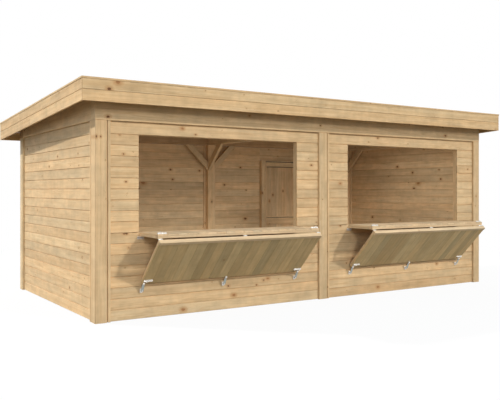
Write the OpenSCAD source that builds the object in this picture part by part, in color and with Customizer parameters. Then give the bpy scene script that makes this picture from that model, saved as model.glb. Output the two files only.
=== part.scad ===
// Timber market stall: square posts, level ring beam, pent roof, boarded walls,
// two folding serving hatches standing open at the front, and a boarded back door.
// Front faces -Y, +Z is up, origin at the middle of the footprint on the ground.

/* [Frame] */
// Width over the outer faces of the corner posts
stall_w = 6000; // [5600:10:6600]
// Depth over the outer faces of the corner posts
stall_d = 3000; // [2600:10:3400]
// Side of the square posts
post_s = 130; // [120:1:145]
// Height of the front beam at its front face
beam_front_h = 271; // [240:1:320]
// Leg of a knee brace along the post and along the beam
brace_leg = 410; // [340:5:440]
// Height of a knee brace's timber
brace_h = 95; // [70:1:110]
// Thickness of a knee brace's timber
brace_t = 45; // [35:1:50]

/* [Roof] */
// Fall of the roof towards the back, in degrees
roof_fall = 3.03; // [2:0.01:3.6]
// Overhang of the roof in front of the posts
front_overhang = 193; // [120:1:300]
// Overhang of the roof at each side
side_overhang = 206; // [140:1:300]
// Overhang of the roof behind the posts
back_overhang = 284; // [140:1:320]
// Height of a rafter
rafter_h = 95; // [70:1:110]
// Thickness of a rafter
rafter_t = 45; // [35:1:60]
// Spaces between the rafters across the roof
rafter_bays = 8; // [6:2:12]
// Thickness of the roof boards
deck_t = 20; // [16:1:28]
// Thickness of the roofing felt
felt_t = 4; // [3:1:6]
// Height of the fascia
fascia_h = 242; // [200:1:260]
// Thickness of the fascia boards
fascia_t = 20; // [16:1:28]
// Rise of the fascia's top edge over the felt
fascia_lip = 8; // [4:1:20]
// Height of the drip strip along the fascia's top edge
drip_h = 20; // [14:1:30]
// Thickness of the drip strip
drip_t = 5; // [4:1:14]

/* [Walls] */
// Height one wall board covers
board_cover = 116; // [110:1:120]
// Thickness of the wall boards
board_t = 20; // [16:1:24]
// Step from the posts' outer faces back to the boards
wall_inset = 26; // [20:1:40]
// Width of the upright filler strips
filler_w = 40; // [30:1:50]
// Thickness of the upright filler strips
filler_t = 20; // [12:1:24]
// Gap between an outside filler strip and its post
filler_gap = 9; // [6:1:12]

/* [Hatches] */
// Width of a serving opening
opening_w = 2110; // [1700:10:2160]
// Shift of the serving openings to the right of their bays' middles
open_shift = 16; // [0:1:40]
// Boards below a serving opening
sill_boards = 8; // [7:1:8]
// Boards in the height of a serving opening
open_boards = 9; // [8:1:9]
// Height of the boarding over a serving opening
header_h = 135; // [100:1:220]
// Width of the studs and rails round a serving opening
stud_w = 45; // [36:1:60]
// Depth of the studs and rails round a serving opening
stud_d = 60; // [45:1:70]
// Gap at each end of a hatch leaf inside its opening
leaf_gap = 11; // [5:1:20]
// Depth of the counter leaf
counter_d = 455; // [400:5:520]
// Thickness of the counter leaf
counter_t = 45; // [36:1:50]
// Rise of the counter over the sill
counter_rise = 3; // [0:1:10]
// Length of the prop leaf
prop_len = 640; // [600:5:700]
// Thickness of the prop leaf
prop_t = 42; // [36:1:50]
// Open joint between the two leaves
fold_gap = 16; // [13:1:20]
// Gap between the prop leaf's lower edge and the wall
foot_gap = 25; // [20:1:60]
// Length of a fold hinge
hinge_len = 45; // [36:1:90]
// Length of a wall hinge
wall_hinge_len = 80; // [60:1:110]
// Reach of the outer wall hinges past the counter's ends
hinge_out = 30; // [0:1:40]
// Radius of a hinge's knuckle
knuckle_r = 7; // [6:0.5:8]
// Thickness of the hinge and bolt plates
plate_t = 3; // [2:0.5:4]
// Length of a barrel bolt
bolt_len = 105; // [80:5:130]
// Radius of a barrel bolt
bolt_r = 7; // [5:0.5:9]
// Width of a hook's strap
hook_w = 24; // [21:1:30]
// Thickness of a hook's strap
hook_t = 5; // [4:0.5:6]
// Drop of a hook from the prop leaf to its wall plate
hook_drop = 84; // [70:1:110]
// Height of a hook's wall plate
hook_plate_h = 45; // [36:1:60]
// Radius of the knob that holds a hook to the prop leaf
knob_r = 10; // [8:0.5:12]

/* [Door] */
// Width of the doorway between its uprights
door_w = 800; // [700:10:860]
// Height of the doorway below its head
door_h = 1800; // [1700:10:1860]
// Width of the door frame's uprights
jamb_w = 118; // [80:1:130]
// Height of the door frame's head
head_h = 90; // [70:1:110]
// Width of the stops round the doorway
stop_w = 15; // [12:1:20]
// Height of the boarding over the door frame
over_door_h = 210; // [120:5:300]
// Thickness of the door leaf's boards
door_t = 22; // [18:1:26]
// Running gap round the door leaf
door_gap = 7; // [6:1:12]
// Height of the rails behind the door's boards
rail_h = 110; // [80:5:140]
// Thickness of the rails behind the door's boards
rail_t = 24; // [18:1:28]
// Length of a strap hinge
strap_len = 420; // [300:10:520]
// Height of a strap hinge
strap_h = 40; // [30:1:50]
// Distance of a strap hinge from the doorway's head, or from the ground
strap_inset = 250; // [150:10:400]
// Height of the pull handle's middle
handle_z = 1000; // [800:10:1200]
// Length of the pull handle
handle_len = 160; // [120:5:200]

/* [Hidden] */
$fn = 48;
fall = tan(roof_fall);
half_w = stall_w / 2;
half_post = post_s / 2;
wall_step = wall_inset + board_t;
frame_in = wall_step + stud_d;

// Hatch leaves, measured out from the wall's face
fold_reach = counter_d + fold_gap;
prop_run = fold_reach - foot_gap;
prop_drop = sqrt(prop_len * prop_len - prop_run * prop_run);
run_n = prop_run / prop_len;
drop_n = prop_drop / prop_len;
fold_angle = atan(prop_drop / prop_run);
hinge_play = 0.5;
seat_play = 0.02;
barrel_r = knuckle_r - hinge_play;
hatch_reach = fold_reach + prop_t * drop_n - wall_inset;

// Plan, centred on the footprint
front_reach = max(front_overhang + drip_t, hatch_reach);
back_reach = back_overhang + drip_t;
total_d = front_reach + stall_d + back_reach;
front_y = front_reach - total_d / 2;
back_y = front_y + stall_d;
wall_y = front_y + wall_inset;
back_wall_y = back_y - wall_inset;
roof_y1 = front_y - front_overhang;
roof_y2 = back_y + back_overhang;
roof_x = half_w + side_overhang;

// Heights
deck_z = rafter_h;
felt_z = deck_z + deck_t;
fascia_top = felt_z + felt_t + fascia_lip;
fascia_low = fascia_top - fascia_h;
sill_z = sill_boards * board_cover;
open_top = sill_z + open_boards * board_cover;
frame_top = door_h + head_h;
beam_z = max(open_top + header_h, frame_top + over_door_h);
counter_top = sill_z + counter_rise;
counter_low = counter_top - counter_t;
fold_z = counter_low - fold_gap;
fold_y = wall_y - fold_reach;
brace_edge = brace_h * sqrt(2);

// Bays between the posts
bay_w = half_w - post_s - half_post;
bay_mid = half_post + bay_w / 2;
leaf_w = opening_w - 2 * leaf_gap;
hatch_x = [open_shift - bay_mid, open_shift + bay_mid];
end_inset = 3;
hook_shift = 10;
hook_spread = leaf_w / 2 - hook_shift - hook_w / 2 - end_inset;
knob_h = 16;
boss_h = 34;
boss_r = hook_w / 3;

// Door
door_mid = bay_mid + filler_w;
door_x1 = door_mid - door_w / 2;
door_x2 = door_mid + door_w / 2;
frame_x1 = door_x1 - jamb_w;
frame_x2 = door_x2 + jamb_w;
door_face = back_wall_y + door_gap;
leaf_x1 = door_x1 + door_gap;
leaf_x2 = door_x2 - door_gap;
leaf_top = door_h - door_gap;
strap_t = 5;
pin_r = 4.5;
pin_play = 0.05;
eye_r = 9;
seat_gap = 1;
pin_y = door_face + eye_r;
hinge_z = [strap_inset, door_h - strap_inset];
handle_in = 60;
handle_x = leaf_x1 + handle_in;
handle_r = 9;
handle_out = 45;

// Height of the rafters' underside, and of the beams' tops, at y
function under_z(y) = beam_z + beam_front_h - (y - front_y) * fall;

// A block between two corners
module block(x1, x2, y1, y2, z1, z2) {
    translate([x1, y1, z1])
        cube([x2 - x1, y2 - y1, z2 - z1]);
}

// A profile drawn in Y and Z, run along X
module along_x(x1, x2, outline) {
    translate([x1, 0, 0])
        rotate([90, 0, 90])
            linear_extrude(height = x2 - x1)
                polygon(outline);
}

// A profile drawn in X and Z, run along Y
module along_y(y1, y2, outline) {
    translate([0, y2, 0])
        rotate([90, 0, 0])
            linear_extrude(height = y2 - y1)
                polygon(outline);
}

// A piece that follows the roof's fall between two levels over the rafters' underside
module on_slope(x1, x2, y1, y2, low, high) {
    along_x(x1, x2, [
        [y1, under_z(y1) + low],
        [y2, under_z(y2) + low],
        [y2, under_z(y2) + high],
        [y1, under_z(y1) + high]
    ]);
}

// A beam with a level underside and a top that follows the roof
module beam(x1, x2, y1, y2) {
    along_x(x1, x2, [
        [y1, beam_z],
        [y2, beam_z],
        [y2, under_z(y2)],
        [y1, under_z(y1)]
    ]);
}

// A rod of radius r from a to b along one axis
module rod_x(x1, x2, y, z, r) {
    translate([x1, y, z])
        rotate([0, 90, 0])
            cylinder(h = x2 - x1, r = r);
}

module rod_y(y1, y2, x, z, r) {
    translate([x, y2, z])
        rotate([90, 0, 0])
            cylinder(h = y2 - y1, r = r);
}

module rod_z(z1, z2, x, y, r) {
    translate([x, y, z1])
        cylinder(h = z2 - z1, r = r);
}

module post_row(y1) {
    for (x = [-half_w, -half_post, half_w - post_s])
        block(x, x + post_s, y1, y1 + post_s, 0, beam_z);
}

module front_posts() {
    color("burlywood")
        post_row(front_y);
}

module back_posts() {
    color("burlywood")
        post_row(back_y - post_s);
}

module front_beam() {
    color("tan")
        beam(-half_w, half_w, front_y, front_y + post_s);
}

module back_beam() {
    color("tan")
        beam(-half_w, half_w, back_y - post_s, back_y);
}

module cross_beams() {
    color("tan")
        for (x = [-half_w, -half_post, half_w - post_s])
            beam(x, x + post_s, front_y + post_s, back_y - post_s);
}

// A brace's side view: d is the way it leaves the post, along X or Y
function brace_outline(at, d) = [
    [at, beam_z - brace_leg],
    [at + d * brace_leg, beam_z],
    [at + d * (brace_leg - brace_edge), beam_z],
    [at, beam_z - brace_leg + brace_edge]
];

module knee_braces() {
    back_in = back_y - post_s;
    front_in = front_y + post_s;
    color("peru") {
        for (x = [-half_w + post_s - brace_t, -half_post, half_w - post_s]) {
            along_x(x, x + brace_t, brace_outline(back_in, -1));
            along_x(x, x + brace_t, brace_outline(front_in, 1));
        }
        along_y(back_in, back_in + brace_t, brace_outline(-half_w + post_s, 1));
        along_y(back_in, back_in + brace_t, brace_outline(-half_post, -1));
        along_y(back_in, back_in + brace_t, brace_outline(half_post, 1));
        along_y(back_in, back_in + brace_t, brace_outline(half_w - post_s, -1));
    }
}

module rafters() {
    first = -roof_x + fascia_t;
    pitch = (2 * -first - rafter_t) / rafter_bays;
    color("peru")
        for (i = [0 : rafter_bays])
            on_slope(first + i * pitch, first + i * pitch + rafter_t,
                roof_y1 + fascia_t, roof_y2 - fascia_t, 0, deck_z);
}

module roof_deck() {
    color("sienna")
        on_slope(-roof_x + fascia_t, roof_x - fascia_t,
            roof_y1 + fascia_t, roof_y2 - fascia_t, deck_z, felt_z);
}

module roof_felt() {
    color("dimgray")
        on_slope(-roof_x + fascia_t, roof_x - fascia_t,
            roof_y1 + fascia_t, roof_y2 - fascia_t, felt_z, felt_z + felt_t);
}

// A fascia along X, with its drip strip on the outside: out is -1 at the front, 1 at the back
module cross_fascia(y, out) {
    back = y - out * fascia_t;
    top = under_z(y) + fascia_top;
    low = under_z(y) + fascia_low;
    along_x(-roof_x + fascia_t, roof_x - fascia_t, [
        [back, low],
        [y, low],
        [y, top - drip_h],
        [y + out * drip_t, top - drip_h],
        [y + out * drip_t, top],
        [back, top]
    ]);
}

module front_fascia() {
    color("wheat")
        cross_fascia(roof_y1, -1);
}

module back_fascia() {
    color("wheat")
        cross_fascia(roof_y2, 1);
}

// A fascia down the slope at one side, its drip strip on the outside
module side_fascia(out) {
    x1 = out < 0 ? -roof_x : roof_x - fascia_t;
    x2 = out < 0 ? -roof_x - drip_t : roof_x;
    union() {
        on_slope(x1, x1 + fascia_t, roof_y1, roof_y2, fascia_low, fascia_top);
        on_slope(x2, x2 + drip_t, roof_y1, roof_y2, fascia_top - drip_h, fascia_top);
    }
}

module left_fascia() {
    color("wheat")
        side_fascia(-1);
}

module right_fascia() {
    color("wheat")
        side_fascia(1);
}

// A front bay's boards with the serving opening cut through
module hatch_wall(i) {
    x1 = i == 0 ? -half_w + post_s : half_post;
    open_x1 = hatch_x[i] - opening_w / 2;
    open_x2 = hatch_x[i] + opening_w / 2;
    difference() {
        block(x1, x1 + bay_w, wall_y, wall_y + board_t, 0, beam_z);
        block(open_x1, open_x2, wall_y - board_t, wall_y + 2 * board_t, sill_z, open_top);
    }
}

module front_left_wall() {
    color("navajowhite")
        hatch_wall(0);
}

module front_right_wall() {
    color("navajowhite")
        hatch_wall(1);
}

module left_wall() {
    x1 = -half_w + wall_inset;
    color("navajowhite")
        block(x1, x1 + board_t, front_y + post_s, back_y - post_s, 0, beam_z);
}

module right_wall() {
    x1 = half_w - wall_step;
    color("navajowhite")
        block(x1, x1 + board_t, front_y + post_s, back_y - post_s, 0, beam_z);
}

module back_left_wall() {
    y1 = back_wall_y - board_t;
    color("navajowhite")
        block(-half_w + post_s, -half_post, y1, back_wall_y, 0, beam_z);
}

module back_right_wall() {
    y1 = back_wall_y - board_t;
    color("navajowhite") {
        block(half_post, frame_x1, y1, back_wall_y, 0, beam_z);
        block(frame_x2, half_w - post_s, y1, back_wall_y, 0, beam_z);
    }
}

module over_door_wall() {
    y1 = back_wall_y - board_t;
    color("navajowhite")
        block(frame_x1, frame_x2, y1, back_wall_y, frame_top, beam_z);
}

// Upright strips outside, one each side of the front posts' line, those at the sides flush with the posts
module filler_strips() {
    side_in = half_w - wall_inset;
    side_y = front_y + post_s;
    color("moccasin") {
        for (x = [-half_w + post_s, half_post]) {
            block(x + filler_gap, x + filler_w, wall_y - filler_t, wall_y, 0, beam_z);
            block(x + filler_gap, x + filler_w, back_wall_y, back_wall_y + filler_t, 0, beam_z);
        }
        for (x = [-half_w, side_in])
            block(x, x + wall_inset, side_y + filler_gap, side_y + filler_w, 0, beam_z);
    }
}

module wall_battens() {
    front_in = front_y + wall_step;
    back_in = back_y - wall_step;
    side_in = half_w - wall_step;
    color("moccasin") {
        for (x = [-half_w + post_s, -half_post - filler_w, half_post, half_w - post_s - filler_w]) {
            block(x, x + filler_w, front_in, front_in + filler_t, 0, beam_z);
            block(x, x + filler_w, back_in - filler_t, back_in, 0, beam_z);
        }
        for (x = [-side_in, side_in - filler_t])
            for (y = [front_y + post_s, back_y - post_s - filler_w])
                block(x, x + filler_t, y, y + filler_w, 0, beam_z);
    }
}

// Studs and rails round a serving opening, behind its boards
module hatch_frame(i) {
    x1 = hatch_x[i] - opening_w / 2;
    x2 = hatch_x[i] + opening_w / 2;
    y1 = wall_y + board_t;
    difference() {
        block(x1 - stud_w, x2 + stud_w, y1, y1 + stud_d, sill_z - stud_w, open_top + stud_w);
        block(x1, x2, y1 - stud_d, y1 + 2 * stud_d, sill_z, open_top);
    }
}

module left_hatch_frame() {
    color("burlywood")
        hatch_frame(0);
}

module right_hatch_frame() {
    color("burlywood")
        hatch_frame(1);
}

module counter(i) {
    block(hatch_x[i] - leaf_w / 2, hatch_x[i] + leaf_w / 2,
        wall_y - counter_d, wall_y, counter_low, counter_top);
}

module left_counter() {
    color("wheat")
        counter(0);
}

module right_counter() {
    color("wheat")
        counter(1);
}

// A point on the prop leaf: s down its length from the fold, t out from its inner face
function on_prop(s, t) = [fold_y + s * run_n - t * drop_n, fold_z - s * drop_n - t * run_n];

// The prop leaf leans from the counter's front edge back to the wall
module prop(i) {
    along_x(hatch_x[i] - leaf_w / 2, hatch_x[i] + leaf_w / 2, [
        on_prop(0, 0),
        on_prop(prop_len, 0),
        on_prop(prop_len, prop_t),
        on_prop(0, prop_t)
    ]);
}

module left_prop() {
    color("tan")
        prop(0);
}

module right_prop() {
    color("tan")
        prop(1);
}

// A hinge inside the fold, its knuckle in the open joint and a plate on each leaf
module fold_hinge(x) {
    pin_s = knuckle_r / tan(fold_angle / 2) - fold_gap / drop_n;
    pin_y = fold_y - fold_gap * run_n / drop_n + knuckle_r / tan(fold_angle / 2);
    plate_d = 4 * knuckle_r + 4 * plate_t;
    union() {
        rod_x(x, x + hinge_len, pin_y, counter_low - knuckle_r, barrel_r);
        block(x, x + hinge_len, pin_y, pin_y + plate_d, counter_low - plate_t, counter_low);
        along_x(x, x + hinge_len, [
            on_prop(pin_s, 0),
            on_prop(plate_d, 0),
            on_prop(plate_d, -plate_t),
            on_prop(pin_s, -plate_t)
        ]);
    }
}

// A hinge below the counter's back edge, with a plate on the wall and one on the counter from x1 to x2
module wall_hinge(x, x1, x2) {
    plate_h = 3 * knuckle_r + 4 * plate_t;
    union() {
        rod_x(x, x + wall_hinge_len, wall_y - knuckle_r, counter_low - knuckle_r, barrel_r);
        block(x, x + wall_hinge_len, wall_y - plate_t, wall_y, counter_low - plate_h, counter_low);
        block(x1, x2, wall_y - plate_h, wall_y, counter_low - plate_t, counter_low);
    }
}

module hinge_set(i) {
    x1 = hatch_x[i] - leaf_w / 2;
    x2 = hatch_x[i] + leaf_w / 2;
    inner = wall_hinge_len - hinge_out;
    middle = hatch_x[i] - wall_hinge_len / 2;
    for (x = [x1, hatch_x[i] - hinge_len / 2, x2 - hinge_len])
        fold_hinge(x);
    wall_hinge(x1 - hinge_out, x1, x1 + inner);
    wall_hinge(middle, middle, middle + wall_hinge_len);
    wall_hinge(x2 - inner, x2 - inner, x2);
}

module left_hinges() {
    color("lightgray")
        hinge_set(0);
}

module right_hinges() {
    color("lightgray")
        hinge_set(1);
}

// A barrel bolt lying along X on the level plane through the origin
module barrel_bolt() {
    plate_w = 4 * bolt_r;
    lug_w = 2 * (bolt_r + plate_t);
    rod_level = plate_t / 2 + bolt_r;
    lug_top = rod_level + bolt_r + plate_t;
    union() {
        block(0, bolt_len, -plate_w / 2, plate_w / 2, 0, plate_t);
        rod_x(0, bolt_len, 0, rod_level, bolt_r);
        rod_z(rod_level, rod_level + 3 * bolt_r, bolt_len / 2, 0, bolt_r / 2);
        for (x = [end_inset, bolt_len - lug_w - end_inset])
            block(x, x + lug_w, -lug_w / 2, lug_w / 2, 0, lug_top);
    }
}

// Two bolts on the counter beside its front edge, two on the prop leaf beside its lower edge
module bolt_set(i) {
    low_spot = on_prop(prop_len - 2 * knob_r - 4 * bolt_r, prop_t + seat_play);
    left_x = hatch_x[i] - leaf_w / 2 + end_inset;
    right_x = hatch_x[i] + leaf_w / 2 - end_inset - bolt_len;
    for (x = [left_x, right_x]) {
        translate([x, wall_y - counter_d + 3 * bolt_r, counter_top])
            barrel_bolt();
        translate([x, low_spot[0], low_spot[1]])
            rotate([180 - fold_angle, 0, 0])
                barrel_bolt();
    }
}

module left_bolts() {
    color("silver")
        bolt_set(0);
}

module right_bolts() {
    color("silver")
        bolt_set(1);
}

// A hook that holds the prop leaf off the wall: a knob on the leaf, a leaning strap, a boss on a wall plate
module hook(x) {
    foot_s = prop_len - knob_r - end_inset;
    knob_foot = on_prop(foot_s, prop_t);
    knob_mid = on_prop(foot_s, prop_t + knob_h / 2);
    boss_y = wall_y - boss_h + hook_t;
    boss_z = knob_mid[1] - hook_drop;
    tail = boss_r + plate_t;
    tail_y = boss_y + tail * (boss_y - knob_mid[0]) / hook_drop;
    tail_z = boss_z - tail;
    union() {
        translate([x, knob_foot[0], knob_foot[1]])
            rotate([180 - fold_angle, 0, 0])
                cylinder(h = knob_h, r = knob_r);
        along_x(x - hook_w / 2, x + hook_w / 2, [
            [knob_mid[0] - hook_t / 2, knob_mid[1]],
            [tail_y - hook_t / 2, tail_z],
            [tail_y + hook_t / 2, tail_z],
            [knob_mid[0] + hook_t / 2, knob_mid[1]]
        ]);
        rod_y(wall_y - boss_h, wall_y - plate_t / 2, x, boss_z, boss_r);
        block(x - hook_w / 2, x + hook_w / 2, wall_y - plate_t, wall_y,
            boss_z - hook_plate_h / 2, boss_z + hook_plate_h / 2);
    }
}

module hook_set(i) {
    for (k = [-1 : 1])
        hook(hatch_x[i] - hook_shift + k * hook_spread);
}

module left_hooks() {
    color("silver")
        hook_set(0);
}

module right_hooks() {
    color("silver")
        hook_set(1);
}

// Uprights and a head, with stops inside the leaf
module door_frame() {
    y1 = back_y - frame_in;
    stop_y = door_face - door_t - door_gap;
    color("burlywood")
        union() {
            block(frame_x1, door_x1, y1, back_wall_y, 0, frame_top);
            block(door_x2, frame_x2, y1, back_wall_y, 0, frame_top);
            block(frame_x1, frame_x2, y1, back_wall_y, door_h, frame_top);
            block(frame_x1, door_x1 + stop_w, y1, stop_y, 0, frame_top);
            block(door_x2 - stop_w, frame_x2, y1, stop_y, 0, frame_top);
            block(frame_x1, frame_x2, y1, stop_y, door_h - stop_w, frame_top);
        }
}

// Upright boards outside, two rails inside
module door_leaf() {
    y1 = door_face - door_t;
    color("tan")
        union() {
            block(leaf_x1, leaf_x2, y1, door_face, door_gap, leaf_top);
            for (z = [2 * rail_h, door_h / 2 - rail_h])
                block(leaf_x1 + stop_w, leaf_x2 - stop_w, y1 - rail_t, y1, z, z + rail_h);
        }
}

// Long straps on the leaf, each rolled into an eye round its pin
module door_straps() {
    color("dimgray")
        for (z = hinge_z)
            difference() {
                union() {
                    block(leaf_x2 - strap_len, door_x2 - strap_t, door_face, door_face + strap_t,
                        z - strap_h / 2, z + strap_h / 2);
                    rod_z(z - strap_h / 2, z + strap_h / 2, door_x2, pin_y, eye_r);
                }
                rod_z(z - strap_h, z + strap_h, door_x2, pin_y, pin_r + pin_play);
            }
}

// Plates on the door frame, each with a bracket and an upright pin for a strap's eye
module door_pintles() {
    x1 = door_x2 - pin_r / 2;
    x2 = door_x2 + 2 * eye_r;
    color("dimgray")
        for (z = hinge_z)
            union() {
                seat_z = z - strap_h / 2 - seat_gap;
                block(x2, x2 + strap_h, back_wall_y, back_wall_y + strap_t, seat_z - strap_h, z + strap_h / 2);
                block(x1, x2 + strap_t, back_wall_y, pin_y + pin_r, seat_z - strap_t, seat_z);
                rod_z(seat_z - strap_t / 2, z + strap_h / 2, door_x2, pin_y, pin_r);
            }
}

module door_handle() {
    foot_h = 3 * handle_r;
    low = handle_z - handle_len / 2;
    high = handle_z + handle_len / 2;
    grip_y = door_face + handle_out;
    color("dimgray")
        union() {
            rod_z(low, high, handle_x, grip_y, handle_r);
            for (z = [low, high]) {
                rod_y(door_face, grip_y, handle_x, z, handle_r);
                translate([handle_x, grip_y, z])
                    sphere(r = handle_r);
                block(handle_x - foot_h / 2, handle_x + foot_h / 2, door_face, door_face + plate_t,
                    z - foot_h / 2, z + foot_h / 2);
            }
        }
}

front_posts();
back_posts();
front_beam();
back_beam();
cross_beams();
knee_braces();
rafters();
roof_deck();
roof_felt();
front_fascia();
back_fascia();
left_fascia();
right_fascia();
front_left_wall();
front_right_wall();
left_wall();
right_wall();
back_left_wall();
back_right_wall();
over_door_wall();
filler_strips();
wall_battens();
left_hatch_frame();
right_hatch_frame();
left_counter();
right_counter();
left_prop();
right_prop();
left_hinges();
right_hinges();
left_bolts();
right_bolts();
left_hooks();
right_hooks();
door_frame();
door_leaf();
door_straps();
door_pintles();
door_handle();
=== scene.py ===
import bpy
import math
import random
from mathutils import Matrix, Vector


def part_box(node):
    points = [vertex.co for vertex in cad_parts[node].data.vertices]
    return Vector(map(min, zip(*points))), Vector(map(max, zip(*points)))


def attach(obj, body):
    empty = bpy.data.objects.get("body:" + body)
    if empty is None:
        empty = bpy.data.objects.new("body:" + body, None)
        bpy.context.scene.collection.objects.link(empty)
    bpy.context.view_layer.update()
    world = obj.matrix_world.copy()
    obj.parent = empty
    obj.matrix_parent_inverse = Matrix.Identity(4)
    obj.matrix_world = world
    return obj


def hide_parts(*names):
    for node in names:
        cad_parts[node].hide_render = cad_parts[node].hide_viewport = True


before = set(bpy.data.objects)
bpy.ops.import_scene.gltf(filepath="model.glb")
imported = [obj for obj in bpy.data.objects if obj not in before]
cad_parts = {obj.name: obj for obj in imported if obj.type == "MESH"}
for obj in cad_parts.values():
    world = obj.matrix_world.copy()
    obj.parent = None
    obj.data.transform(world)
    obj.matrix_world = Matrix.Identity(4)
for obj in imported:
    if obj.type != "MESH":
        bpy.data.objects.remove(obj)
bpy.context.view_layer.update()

axisX, axisY, axisZ = Vector((1, 0, 0)), Vector((0, 1, 0)), Vector((0, 0, 1))


# Some values of a dictionary by their names
def pick(table, names):
    return [table[name] for name in names.split()]


# Stall, sizes in metres; the fixed places come from the frame
stall = {
    "halfW": 3.0, "post": 0.13, "beamFront": 0.271, "fall": math.tan(math.radians(3.03)),
    "frontOver": 0.193, "sideOver": 0.206, "backOver": 0.284,
    "inset": 0.026, "boardT": 0.02, "cover": 0.116,
}
halfW, post, inset, boardT = pick(stall, "halfW post inset boardT")
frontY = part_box("front_posts")[0].y
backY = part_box("back_posts")[1].y
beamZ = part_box("front_posts")[1].z
frontIn, backIn = frontY + post, backY - post  # inner faces of the posts
wallY, backWallY = frontY + inset, backY - inset
roofY1, roofY2 = frontY - stall["frontOver"], backY + stall["backOver"]
roofX = halfW + stall["sideOver"]
sideX = halfW - inset  # outer face of an end wall
halfPost = post / 2
bayX = halfW - post  # outer end of a front or back bay
postX = (-halfW, -halfPost, bayX)
downSlope = Vector((0, 1, -stall["fall"])).normalized()


# Height of the rafters' underside
def underZ(y):
    return beamZ + stall["beamFront"] - (y - frontY) * stall["fall"]


# Knots that stand out, each as a place and a radius, below zero for a soft reddish one
knots = []
knotReach = 0.004  # how far off a plank's faces a knot may lie
noMarks = ((0, 0, 0), (0, 0, 0))


# Knots on an upright face that lies across an axis: place along the face, height and radius
def addKnots(axis, at, spots):
    for along, z, r in spots:
        knots.append((Vector((at, along, z) if axis == "x" else (along, at, z)), r))


# Mesh tools: a bag gathers the corners and faces of one piece, with its own dice
plainTone = (0.5, 0.5, 0.5)
slideRange = 60
cutShare = 0.45  # the most of an edge that a cut corner takes
mitreLeast = 0.35  # keeps the shrunk point of a sharp corner near
smoothSlots, smoothAngle = ("zinc_fittings", "black_iron"), 35


def newBag(name):
    bag = {key: [] for key in ("verts", "faces", "grain", "tone", "knotA", "knotB", "kinds")}
    bag.update(name=name, kind=0, dice=random.Random("stall " + name))
    return bag


def addLoops(bag, loops, toGrain, tone, marks=noMarks):
    count = len(loops[0])
    base = len(bag["verts"])
    for loop in loops:
        for spot in loop:
            bag["verts"].append(tuple(spot))
            bag["grain"].extend(toGrain(spot))
            bag["tone"].extend(tone)
            bag["knotA"].extend(marks[0])
            bag["knotB"].extend(marks[1])
    for k in range(len(loops) - 1):
        low, high = base + k * count, base + (k + 1) * count
        for i in range(count):
            j = (i + 1) % count
            bag["faces"].append((low + i, low + j, high + j, high + i))
    top = base + (len(loops) - 1) * count
    bag["faces"].append(tuple(base + i for i in reversed(range(count))))
    bag["faces"].append(tuple(top + i for i in range(count)))
    bag["kinds"] += [bag["kind"]] * (len(bag["faces"]) - len(bag["kinds"]))


def rectangle(x1, x2, y1, y2):
    return [(x1, y1), (x2, y1), (x2, y2), (x1, y2)]


def signedArea(outline):
    return sum(a[0] * b[1] - b[0] * a[1] for a, b in zip(outline, outline[1:] + outline[:1])) / 2


# Each corner of an outline with the ones before and after it
def corners(outline):
    count = len(outline)
    return [[Vector(outline[(i + k) % count]) for k in (-1, 0, 1)] for i in range(count)]


# Cuts the outward corners of an outline drawn anticlockwise
def cutCorners(outline, cut):
    made = []
    for before, here, after in corners(outline):
        one, two = before - here, after - here
        turn = (here - before).x * (after - here).y - (here - before).y * (after - here).x
        c = min(cut, one.length * cutShare, two.length * cutShare)
        if turn <= 0 or c <= 0:
            made.append(tuple(here))
        else:
            made.append(tuple(here + one.normalized() * c))
            made.append(tuple(here + two.normalized() * c))
    return made


def shrink(outline, gap):
    made = []
    for before, here, after in corners(outline):
        d1, d2 = (here - before).normalized(), (after - here).normalized()
        n1, n2 = Vector((-d1.y, d1.x)), Vector((-d2.y, d2.x))
        mid = n1 + n2 if (n1 + n2).length >= 1e-6 else n1
        mid.normalize()
        made.append(tuple(here + mid * gap / max(mid.dot(n1), mitreLeast)))
    return made


# A bevelled prism: an outline in the p, q plane run along n, with its grain along u;
# far is the outline at its other end
def prism(bag, origin, p, q, outline, n, depth, bevel, u, tone=plainTone, slide=0, far=None):
    far = far or outline
    if (p.cross(q).dot(n) < 0) != (signedArea(outline) < 0):
        outline, far = outline[::-1], far[::-1]
    way = -1 if signedArea(outline) < 0 else 1

    def inner(points):
        return [(way * a, b) for a, b in shrink([(way * a, b) for a, b in points], bevel)]

    def loop(points, step):
        return [origin + p * a + q * b + n * step for a, b in points]
    loops = [loop(inner(outline), 0), loop(outline, bevel), loop(far, depth - bevel), loop(inner(far), depth)]
    every = [spot for ring in loops for spot in ring]
    mid = sum(every, Vector()) / len(every)
    spans = [(axis, max(s.dot(axis) for s in every) - min(s.dot(axis) for s in every)) for axis in (p, q, n)]
    across = sorted((s for s in spans if abs(s[0].dot(u)) < 0.9), key=lambda s: -s[1])
    v = (across[0][0] - u * across[0][0].dot(u)).normalized()
    w = u.cross(v)

    def toGrain(spot):
        off = spot - mid
        return (off.dot(u) + slide, off.dot(v), off.dot(w))
    reach = [(min(axis) - knotReach, max(axis) + knotReach) for axis in zip(*map(toGrain, every))]
    marks = []
    for place, r in knots:
        spot = toGrain(place)
        if all(low < at < high for at, (low, high) in zip(spot, reach)):
            marks.append((spot[0], spot[1], r))
    addLoops(bag, loops, toGrain, tone, (marks + list(noMarks))[:2])


def rollTone(bag):
    return tuple(bag["dice"].random() for k in range(3))


# A prism in wood, with a tone and a stretch of grain of its own
def plank(bag, origin, p, q, outline, n, depth, bevel, u, far=None):
    tone = rollTone(bag)
    prism(bag, origin, p, q, outline, n, depth, bevel, u, tone, bag["dice"].uniform(0, slideRange), far)


# A plank drawn in Y and Z and run along X
def plankX(bag, x1, x2, outline, bevel, u=axisX, far=None):
    plank(bag, axisX * x1, axisY, axisZ, outline, axisX, x2 - x1, bevel, u, far)


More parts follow.
